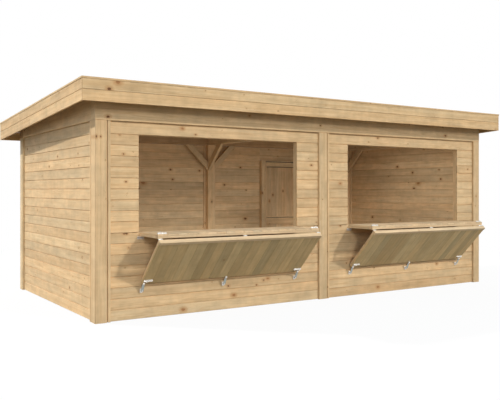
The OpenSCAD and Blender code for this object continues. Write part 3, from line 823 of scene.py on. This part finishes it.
for side, (ox1, ox2) in hatches.items():
    x1, x2 = ox1 + hatch["gap"], ox2 - hatch["gap"]
    stud, wide, cut, strip, lip = pick(hatch, "stud batten cut strip lip")
    battenX = (x1, (x1 + x2 - wide) / 2, x2 - wide)
    outX1, outX2, y1 = ox1 - stud, ox2 + stud, wallY + boardT
    bag = newBag(side + "HatchFrame")
    timberRow(bag, y1, y1 + hatch["studDeep"], (
        (outX1, outX2, sillZ - stud, sillZ, "x"), (outX1, outX2, openTop, openTop + stud, "x"),
        (outX1, ox1, sillZ, openTop, "z"), (ox2, outX2, sillZ, openTop, "z")), cut)
    addPiece(bag, "frame_timber", woods["frame"])

    # Counter: boards front to back on battens
    bag = newBag(side + "Counter")
    low = counterTop - counterBoards["thick"]
    y1, y2 = counterFront + wide, wallY - wide
    boardLeaf(bag, Vector((0, counterFront, low)), axisZ, axisY, hatch["deep"], x1, x2, counterBoards)
    timber(bag, (x1, counterFront + hatch["battenIn"], counterLow), (x2, y1, low), "x", cut)
    timber(bag, (x1, y2, counterLow), (x2, wallY - hatch["battenIn"], low), "x", cut)
    for x in battenX:
        timber(bag, (x, y1, counterLow), (x + wide, y2, low), "y", cut)
    addPiece(bag, "hatch_boards", woods["hatch"])

    # Prop: boards up and down outside, battens round the edges inside, a strip along the fold
    bag = newBag(side + "Prop")
    under = propT - propBoards["thick"]
    boardLeaf(bag, onProp(0, strip, under), outProp, downProp, propLen - strip, x1, x2, propBoards)
    bag["kind"] = 1
    battens = [(x1, x2, -lip, wide, axisX), (x1, x2, propLen - wide, propLen, axisX)]
    battens += [(x, x + wide, wide, propLen - wide, downProp) for x in battenX]
    for xa, xb, s1, s2, u in battens:
        outline = rectangle(0, xb - xa, 0, s2 - s1)
        plank(bag, onProp(xa, s1, 0), axisX, downProp, outline, outProp, under, hatch["propCut"], u)
    outline = rectangle(-lip, strip, under, propT + hatch["stripOut"])
    plank(bag, onProp(x1, 0, 0), downProp, outProp, outline, axisX, x2 - x1, hatch["stripCut"], axisX)
    # The boards take the darker prop pine, painted shade; battens and strip take the hatch pine
    addPiece(bag, "hatch_boards", woods["prop"], woods["hatch"])
print("stage: hatches ready")

# Door: frame with a sloped edge on the room side, leaf of boards with rails inside
doorBoards = {
    "count": 7, "thick": 0.022, "veeTop": 0.006, "veeDeep": 0.005, "veeLow": 0.003, "gap": 0.0008,
    "tongueAt": 0.009, "tongueT": 0.004, "tongue": 0.005, "bevel": 0.0015,
}
# Sizes of the dark strips that paint the shadow lines under the door's head
shadowLines = {"wide": 0.012, "thick": 0.003, "down": 0.006, "endIn": 0.016, "stopNear": 0.002, "stopFar": 0.012}
x1, x2, high, slope, stop, railH, railT = pick(door, "x1 x2 high slope stop railH railT")
roomY, stopY = backWallY - door["deep"], backWallY - doorBoards["thick"]
faceY, lift, stopLow = roomY + slope, high + door["rim"], high - stop
doorFace = backWallY + door["gap"]
leafIn = doorFace - doorBoards["thick"]
addKnots("y", leafIn, ((1.268, 1.297, 0.014), (1.483, 1.364, 0.012), (1.198, 1.191, -0.014)))
addKnots("y", roomY, ((1.005, 1.330, 0.012),))


# Jamb, head and jamb about an opening with its upper left corner at x, z
def frameOutlines(x, z):
    left, right = (x, z), (door["x1"] + door["x2"] - x, z)
    return ([(frameX1, 0), (frameX1, frameTop), left, (x, 0)],
            [(frameX1, frameTop), (frameX2, frameTop), right, left],
            [(frameX2, frameTop), (frameX2, 0), (right[0], 0), right])


bag = newBag("doorFrame")
rings = frameOutlines(x1 - slope, lift + slope), frameOutlines(x1, lift)
for near, far, u in zip(*rings, (axisZ, axisX, axisZ)):
    plank(bag, axisY * roomY, axisX, axisZ, near, axisY, slope, door["slopeCut"], u, far)
timberRow(bag, faceY, backWallY, (
    (frameX1, x1, 0, frameTop, "z"), (x2, frameX2, 0, frameTop, "z"), (x1, x2, high, lift, "x"),
    (x1, x2, lift, frameTop, "x")), door["frameCut"])
timberRow(bag, faceY, stopY, (
    (x1, x1 + stop, 0, high, "z"), (x2 - stop, x2, 0, high, "z"), (x1 + stop, x2 - stop, stopLow, high, "x")),
    door["stopCut"])
bag["kind"] = 1  # dark strips of painted shadow under the head: one on its slope, one on its stop
thick, wide, down = pick(shadowLines, "thick wide down")
shadowLineY, shadowLineZ = roomY + down, lift + slope - down
outline = [(shadowLineY, shadowLineZ), (shadowLineY + wide, shadowLineZ - wide), (shadowLineY + wide - thick, shadowLineZ - wide - thick),
           (shadowLineY - thick, shadowLineZ - thick)]
shadowLineX1, shadowLineX2, cut = x1 - slope + shadowLines["endIn"], x2 + slope - shadowLines["endIn"], door["slopeCut"]
prism(bag, axisX * shadowLineX1, axisY, axisZ, outline, axisX, shadowLineX2 - shadowLineX1, cut, axisX, rollTone(bag))
timber(bag, (x1 + stop, stopY - shadowLines["stopFar"], stopLow - wide),
       (x2 - stop, stopY - shadowLines["stopNear"], stopLow), "x", door["stopCut"])
addPiece(bag, "frame_timber", woods["frame"], shadeStrips)

leafX1, leafX2 = x1 + door["gap"], x2 - door["gap"]
leafLow, leafTop = door["gap"], high - door["gap"]
bag = newBag("doorLeaf")
boardLeaf(bag, Vector((0, leafIn, leafLow)), axisY, axisZ, leafTop - leafLow, leafX1, leafX2, doorBoards)
for z in (2 * railH, high / 2 - railH):
    top, bead = z + railH, z + railH + door["groove"]
    # The strip in the groove between each rail and its bead is dark: painted shadow
    for z1, z2, deep, cut, kind in (
            (z, top, railT, door["railCut"], 0), (bead, bead + door["bead"], railT, door["railCut"], 0),
            (top, bead, door["grooveT"], door["frameCut"], 1)):
        bag["kind"] = kind
        timber(bag, (leafX1 + stop, leafIn - deep, z1), (leafX2 - stop, leafIn, z2), "x", cut)
addPiece(bag, "door_boards", woods["door"], shadeStrips, body="door")
print("stage: door ready")

# Zinc fittings of a hatch
hinges = {
    "foldLen": 0.045, "foldPlate": 0.038, "foldScrew": 0.026, "wallLen": 0.08, "wallPlate": 0.033,
    "wallScrew": 0.025, "wallOut": 0.03, "plateT": 0.0025, "r": 0.007, "ease": 0.0006, "split": 0.0003,
    "parts": 5, "foldScrews": (-0.3, 0.3), "wallScrews": (-0.36, 0, 0.36),
    "pinHead": ((-0.002, 0.75), (0.0003, 0.75), (0.0012, 0.5), (0.0016, 0.2)),  # steps and shares of r
}


# The rolled parts of a hinge along X, with a pin's head at each end
def knuckles(bag, x, y, z, length):
    r, split = hinges["r"] - hinges["ease"], hinges["split"]
    step = length / hinges["parts"]
    for k in range(hinges["parts"]):
        rod(bag, Vector((x + k * step + split, y, z)), Vector((x + (k + 1) * step - split, y, z)), r, 0.1)
    head = [(along, r * share) for along, share in hinges["pinHead"]]
    for end, way in ((x, -1), (x + length, 1)):
        lathe(bag, Vector((end, y, z)), axisX * way, head, 14)


def foldHinge(bag, x):
    r, length, t, wide, off = pick(hinges, "r foldLen plateT foldPlate foldScrew")
    reach = r / math.tan(foldAngle / 2)
    pinY = foldY - foldGap * runN / dropN + reach
    pinS = reach - foldGap / dropN
    knuckles(bag, x, pinY, counterLow - r, length)
    mid = x + length / 2
    plate(bag, Vector((mid, pinY + wide / 2, counterLow)), axisX, -axisY, length, wide, t)
    plate(bag, onProp(mid, pinS + wide / 2, 0), axisX, downProp, length, wide, t)
    for k in hinges["foldScrews"]:
        screw(bag, Vector((mid + k * length, pinY + off, counterLow - t)), -axisZ)
        screw(bag, onProp(mid + k * length, pinS + off, -t), -outProp)


# A hinge under the counter at the wall; its counter plate runs from xa to xb
def wallHinge(bag, x, xa, xb):
    r, length, t, wide, off = pick(hinges, "r wallLen plateT wallPlate wallScrew")
    knuckles(bag, x, wallY - r, counterLow - r, length)
    mid, midIn = x + length / 2, (xa + xb) / 2
    plate(bag, Vector((mid, wallY, counterLow - wide / 2)), axisX, axisZ, length, wide, t)
    plate(bag, Vector((midIn, wallY - wide / 2, counterLow)), axisX, -axisY, xb - xa, wide, t)
    for k in hinges["wallScrews"]:
        screw(bag, Vector((mid + k * length, wallY - t, counterLow - off)), -axisY)
        screw(bag, Vector((midIn + k * (xb - xa), wallY - off, counterLow - t)), -axisZ)


bolts = {
    "len": 0.105, "r": 0.0062, "plateW": 0.027, "plateT": 0.0025, "endIn": 0.001,
    "straps": (0.006, 0.046, 0.087), "strapW": 0.012, "strapT": 0.0022, "strapCut": 0.0005,
    "screws": (0.024, 0.066, 0.1), "screwOut": 0.0102, "screw": (0.0026, 0.0012),
    "knobAt": {-1: 0.032, 1: 0.073}, "knob": (
        (0, 0.0026), (0.006, 0.0026), (0.0075, 0.0046), (0.0105, 0.0058), (0.0135, 0.0046), (0.015, 0.0016)),
    "fromSide": 0.003, "fromFront": 0.021, "fromFoot": 0.048,
}


# A barrel bolt along X: plate, three straps, round bolt and knob
def barrelBolt(bag, start, up, way):
    length, r, t, endIn = pick(bolts, "len r plateT endIn")
    side, level, over = up.cross(axisX), t + r, r + bolts["strapT"]
    plate(bag, start + axisX * length / 2, axisX, side, length, bolts["plateW"], t)
    turns = [math.pi * k / 10 for k in range(1, 10)]
    arch = [(over, t / 2), (over, level)]
    arch += [(over * math.cos(a), level + over * math.sin(a)) for a in turns]
    arch += [(-over, level), (-over, t / 2)]
    for x in bolts["straps"]:
        prism(bag, start + axisX * x, side, up, arch, axisX, bolts["strapW"], bolts["strapCut"], axisX)
    ends = [start + axisX * x + up * level for x in (endIn, length - endIn)]
    rod(bag, *ends, r, 0.3)
    lathe(bag, start + axisX * bolts["knobAt"][way] + up * (level + r / 2), up, bolts["knob"], 16)
    for x in bolts["screws"]:
        for k in (-1, 1):
            spot = start + axisX * x + side * k * bolts["screwOut"] + up * t
            screw(bag, spot, up, *bolts["screw"])


# The knob is given by steps and shares of its radius
hooks = {
    "wide": 0.03, "thick": 0.005, "corner": 0.009, "cut": 0.0008, "drop": 0.084, "over": 0.001, "tail": 0.011,
    "bossH": 0.034, "bossR": 0.008, "bossTop": ((0.004, 0.008), (0.001, 0.006), (0, 0.003)),
    "plateH": 0.045, "plateT": 0.003, "plateCorner": 0.005,
    "screwOut": 0.0165, "screw": (0.0036, 0.0016), "knobR": 0.01, "knobH": 0.016,
    "knob": ((0, 1), (0.0018, 1), (0.0026, 0.7), (0.0085, 0.7), (0.011, 1.35), (0.0155, 1.5), (0.019, 1.25),
             (0.0212, 0.6), (0.0217, 0.1)),
    "footIn": 0.003, "shift": 0.01, "sideIn": 0.015,
}


# A knob on the prop's lower edge, a strap that leans back from it, and a boss on a wall plate
def hook(bag, x):
    foot = onProp(x, propLen - hooks["knobR"] - hooks["footIn"], propT)
    wide, thick, bossH, bossR, plateT = pick(hooks, "wide thick bossH bossR plateT")
    lathe(bag, foot, outProp, [(step, hooks["knobR"] * share) for step, share in hooks["knob"]], 22)
    knob = foot + outProp * hooks["knobH"] / 2
    boss = Vector((x, wallY - bossH + thick, knob.z - hooks["drop"]))
    down = (boss - knob).normalized()
    face = axisX.cross(-down)
    top, tail = knob - down * hooks["over"], boss + down * hooks["tail"]
    # The strap takes the darker metal, a painted reflection of the dark ground
    bag["kind"] = 1
    plate(bag, (top + tail) / 2 - face * thick / 2, axisX, -down, wide, (tail - top).length, thick,
          hooks["corner"], hooks["cut"])
    bag["kind"] = 0
    seat = Vector((x, wallY, boss.z))
    lathe(bag, seat, -axisY, [(0, bossR)] + [(bossH - back, r) for back, r in hooks["bossTop"]])
    plate(bag, seat, axisX, axisZ, wide, hooks["plateH"], plateT, hooks["plateCorner"])
    for k in (-1, 1):
        spot = seat - axisY * plateT + axisZ * k * hooks["screwOut"]
        screw(bag, spot, -axisY, *hooks["screw"])


for side, (ox1, ox2) in hatches.items():
    x1, x2 = ox1 + hatch["gap"], ox2 - hatch["gap"]
    mid, long, out = (x1 + x2) / 2, hinges["wallLen"], hinges["wallOut"]
    bag = newBag(side + "Hinges")
    for x in (x1, mid - hinges["foldLen"] / 2, x2 - hinges["foldLen"]):
        foldHinge(bag, x)
    wallHinge(bag, x1 - out, x1, x1 + long - out)
    wallHinge(bag, mid - long / 2, mid - long / 2, mid + long / 2)
    wallHinge(bag, x2 - long + out, x2 - long + out, x2)
    addPiece(bag, "zinc_fittings", zinc)

    bag = newBag(side + "Bolts")
    for x, way in ((x1 + bolts["fromSide"], -1), (x2 - bolts["fromSide"] - bolts["len"], 1)):
        barrelBolt(bag, Vector((x, counterFront + bolts["fromFront"], counterTop)), axisZ, way)
        barrelBolt(bag, onProp(x, propLen - bolts["fromFoot"], propT), outProp, way)
    addPiece(bag, "zinc_fittings", zinc)

    bag = newBag(side + "Hooks")
    spread = (x2 - x1) / 2 - hooks["shift"] - hooks["sideIn"]
    for k in (-1, 0, 1):
        hook(bag, mid - hooks["shift"] + k * spread)
    addPiece(bag, "zinc_fittings", zinc, strapPaintedReflection)

# Black iron on the door: straps with an eye and round bolt heads
straps = {
    "len": 0.42, "high": 0.04, "thick": 0.005, "cut": 0.0009, "tipR": 0.012, "square": 0.05, "eyeR": 0.009,
    "play": 0.0002, "eyeEase": ((0.0005, 0.0008), (0.0013, 0)), "inset": 0.25,
    "bolts": (0.03, 0.13, 0.24, 0.35),
    "bolt": ((-0.001, 0.0085), (0.0006, 0.0085), (0.0025, 0.0074), (0.0042, 0.0045), (0.0048, 0.0012)),
}
pintles = {
    "pinR": 0.0045, "plateW": 0.04, "plateT": 0.005, "corner": 0.006, "cut": 0.0008, "below": 0.04,
    "above": 0.02, "play": 0.001, "armT": 0.005, "armEnd": 0.004, "armLap": 0.005, "armCut": 0.001,
    "root": 0.003, "boltX": 0.022, "bolts": (-0.045, 0.008),
    "bolt": ((-0.001, 0.0075), (0.0006, 0.0075), (0.0024, 0.0062), (0.0036, 0.0025)),
}
pinX, pinY = door["x2"], doorFace + straps["eyeR"]
levels = (straps["inset"], door["high"] - straps["inset"])
bag = newBag("doorStraps")
for z in levels:
    tipR, thick, ro = pick(straps, "tipR thick eyeR")
    h, ri = straps["high"] / 2, pintles["pinR"] + straps["play"]
    x1, x2 = leafX2 - straps["len"], door["x2"] - thick
    turns = [math.radians(100 + 16 * k) for k in range(11)]
    tip = [(x1 + tipR + tipR * math.cos(a), z + tipR * math.sin(a)) for a in turns]
    square = x2 - straps["square"]
    outline = [(x2, z - h), (x2, z + h), (square, z + h)] + tip + [(square, z - h)]
    prism(bag, axisY * doorFace, axisX, axisZ, outline, axisY, thick, straps["cut"], axisX)
    rise = [(0, ri)] + [(step, ro - back) for step, back in straps["eyeEase"]]
    eye = rise + [(2 * h - step, r) for step, r in reversed(rise)] + [(0, ri)]
    lathe(bag, Vector((pinX, pinY, z - h)), axisZ, eye, 24)
    for x in straps["bolts"]:
        lathe(bag, Vector((x1 + x, doorFace + thick, z)), axisY, straps["bolt"], 18)
addPiece(bag, "black_iron", iron, body="door")

# Pintles: a wall plate, an arm and the pin that the eye turns on
bag = newBag("doorPintles")
for z in levels:
    wide, thick, corner, cut, r = pick(pintles, "plateW plateT corner cut pinR")
    seat, top = z - straps["high"] / 2 - pintles["play"], z + pintles["above"]
    low, plateX = seat - pintles["below"], pinX + 2 * straps["eyeR"]
    centre = Vector((plateX + wide / 2, backWallY, (low + top) / 2))
    plate(bag, centre, -axisX, axisZ, wide, top - low, thick, corner, cut)
    bag["dice"].seed(1)  # both arms alike
    timber(bag, (pinX - pintles["armEnd"], backWallY, seat - pintles["armT"]),
           (plateX + pintles["armLap"], pinY + r, seat), "x", pintles["armCut"])
    rod(bag, Vector((pinX, pinY, seat - pintles["root"])), Vector((pinX, pinY, top)), r, 0.35)
    for dz in pintles["bolts"]:
        spot = Vector((plateX + pintles["boltX"], backWallY + thick, z + dz))
        lathe(bag, spot, axisY, pintles["bolt"], 16)
addPiece(bag, "black_iron", iron)

# Bow handle on two square plates
handle = {
    "z": 1.0, "len": 0.16, "r": 0.009, "fromEdge": 0.06, "out": 0.045, "bend": 0.022,
    "plate": 0.027, "plateT": 0.003, "corner": 0.006, "screwOut": 0.0105, "screw": (0.0022, 0.001),
}
bag = newBag("doorHandle")
bend, wide, thick, corner = pick(handle, "bend plate plateT corner")
x = leafX1 + handle["fromEdge"]
low, top = handle["z"] - handle["len"] / 2, handle["z"] + handle["len"] / 2
bendY = doorFace + handle["out"] - bend
quarter = [math.radians(10 * k) for k in range(10)]
path = [(doorFace, low)]
path += [(bendY + bend * math.sin(a), low + bend - bend * math.cos(a)) for a in quarter]
path += [(bendY + bend * math.cos(a), top - bend + bend * math.sin(a)) for a in quarter]
path += [(doorFace, top)]
tube(bag, [Vector((x, y, z)) for y, z in path], handle["r"], 18)
for z in (low, top):
    plate(bag, Vector((x, doorFace, z)), -axisX, axisZ, wide, wide, thick, corner)
    for k in (-1, 1):
        spot = Vector((x + k * handle["screwOut"], doorFace + thick, z))
        screw(bag, spot, axisY, *handle["screw"])
addPiece(bag, "black_iron", iron, body="door")
print("stage: fittings ready")

# Studio: a white floor that fades into a white surround, and soft light from the sky;
# each sun has a direction, a strength, a width in degrees and a colour
studio = {
    "floor": 0.86, "floorRough": 0.9, "floorHalf": 60, "fade": (3.0, 8.0, 0.93, 1.0),
    "bounce": (0.168, 0.15, 0.116), "ambient": 0.5, "sky": (0.89, 0.99, 1.1),
    "suns": (
        ("leftSun", (1.0, -1.0, -1.08), 2.9, 2.0, (1.0, 0.98, 0.95)),  # crisp, from the back left
        ("frontSun", (-0.55, 1.0, -0.767), 1.36, 4.0, (1.0, 0.98, 0.95)),  # crisp, from the front right
        ("frontSoft", (0.32, 1.0, -0.33), 0.72, 12.0, (1.0, 0.98, 0.95)),
        ("leftFill", (1.0, 0.25, -0.2), 0.46, 70.0, (0.95, 0.99, 1.0)),
        ("backFill", (-0.5, -0.8, -0.6), 0.5, 40.0, (1.0, 0.99, 0.97))),
    "room": 1.6, "roomTop": 0.3, "roomIn": 0.005,  # soft light inside, through each serving opening
    "ceiling": 0.56, "ceilingSpan": (5.4, 1.6), "ceilingSpot": (0, -0.35, 2.08),
}
white = (1, 1, 1, 1)
scene = bpy.context.scene


# Mask of what is seen directly, in a reflection or through glass
def seenMask(tree):
    calc = treeTool(tree)[1]
    path = tree.nodes.new("ShaderNodeLightPath").outputs
    mirrored = calc("MAXIMUM", path["Is Camera Ray"], path["Is Glossy Ray"])
    return calc("MAXIMUM", mirrored, path["Is Transmission Ray"])


half = studio["floorHalf"]
mesh = bpy.data.meshes.new("floor")
mesh.from_pydata([(x, y, 0) for x, y in rectangle(-half, half, -half, half)], [], [(0, 1, 2, 3)])
floor = bpy.data.objects.new("floor", mesh)
scene.collection.objects.link(floor)
material, tree, skin = newMaterial("floorWhite")
put, calc, mix, ramp, noise = treeTool(tree)
skin.inputs["Base Color"].default_value = (studio["floor"],) * 3 + (1,)
skin.inputs["Roughness"].default_value = studio["floorRough"]
skin.inputs["Specular IOR Level"].default_value = 0.0
spot = put("ShaderNodeTexCoord", {}, "Object")
away = put("ShaderNodeVectorMath", {0: spot}, "Value", operation="LENGTH")
glow = put("ShaderNodeEmission", {0: white, 1: 1.0})
dull = put("ShaderNodeBsdfDiffuse", {0: studio["bounce"] + (1,)})
bright = put("ShaderNodeMixShader", {0: ramp(away, *studio["fade"]), 1: skin.outputs[0], 2: glow})
both = put("ShaderNodeMixShader", {0: seenMask(tree), 1: dull, 2: bright})
end = [node for node in tree.nodes if node.type == "OUTPUT_MATERIAL"][0]
tree.links.new(both, end.inputs[0])
mesh.materials.append(material)

world = bpy.data.worlds.new("studio")
scene.world = world
world.use_nodes = True
tree = world.node_tree
tree.nodes.clear()
put = treeTool(tree)[0]
soft = put("ShaderNodeBackground", {0: studio["sky"] + (1,), 1: studio["ambient"]})
plain = put("ShaderNodeBackground", {0: white, 1: 1.0})
end = tree.nodes.new("ShaderNodeOutputWorld")
tree.links.new(put("ShaderNodeMixShader", {0: seenMask(tree), 1: soft, 2: plain}), end.inputs[0])


def addLamp(name, kind, way, up="Y"):
    light = bpy.data.lights.new(name, kind)
    lamp = bpy.data.objects.new(name, light)
    lamp.rotation_euler = Vector(way).to_track_quat("-Z", up).to_euler()
    scene.collection.objects.link(lamp)
    return light, lamp


for name, way, power, angle, color in studio["suns"]:
    light, lamp = addLamp(name, "SUN", way)
    light.energy, light.color, light.angle = power, color, math.radians(angle)
roomMid = (sillZ + openTop - studio["roomTop"]) / 2
lightY = wallY + boardT + hatch["studDeep"] + studio["roomIn"]
roomLights = [("ceilingLight", studio["ceilingSpot"], -axisZ, "Y", studio["ceilingSpan"], studio["ceiling"])]
for side, (ox1, ox2) in hatches.items():
    spot, span = ((ox1 + ox2) / 2, lightY, roomMid), (ox2 - ox1, 2 * (roomMid - sillZ))
    roomLights.append((side + "RoomLight", spot, axisY, "Z", span, studio["room"]))
for name, spot, way, up, span, power in roomLights:
    light, lamp = addLamp(name, "AREA", way, up)
    light.shape = "RECTANGLE"
    light.size, light.size_y = span
    light.energy = power * math.pi * span[0] * span[1]
    lamp.location = spot
    lamp.visible_camera = False

# Camera at the photograph's view
view = {
    "spot": (-5.4594, -8.18084, 1.3824), "turn": 32.9031, "shift": (-0.00415, -0.0201),
    "focalPixels": 682.1, "photoPixels": 500, "sensor": 36,
}
eye = bpy.data.cameras.new("photoView")
eye.sensor_width = view["sensor"]
eye.lens = view["focalPixels"] * view["sensor"] / view["photoPixels"]
eye.shift_x, eye.shift_y = view["shift"]
camera = bpy.data.objects.new("photoView", eye)
camera.location = view["spot"]
camera.rotation_euler = (math.radians(90), 0, -math.radians(view["turn"]))
scene.collection.objects.link(camera)
scene.camera = camera
scene.view_settings.view_transform = "Standard"
print("stage: studio ready")
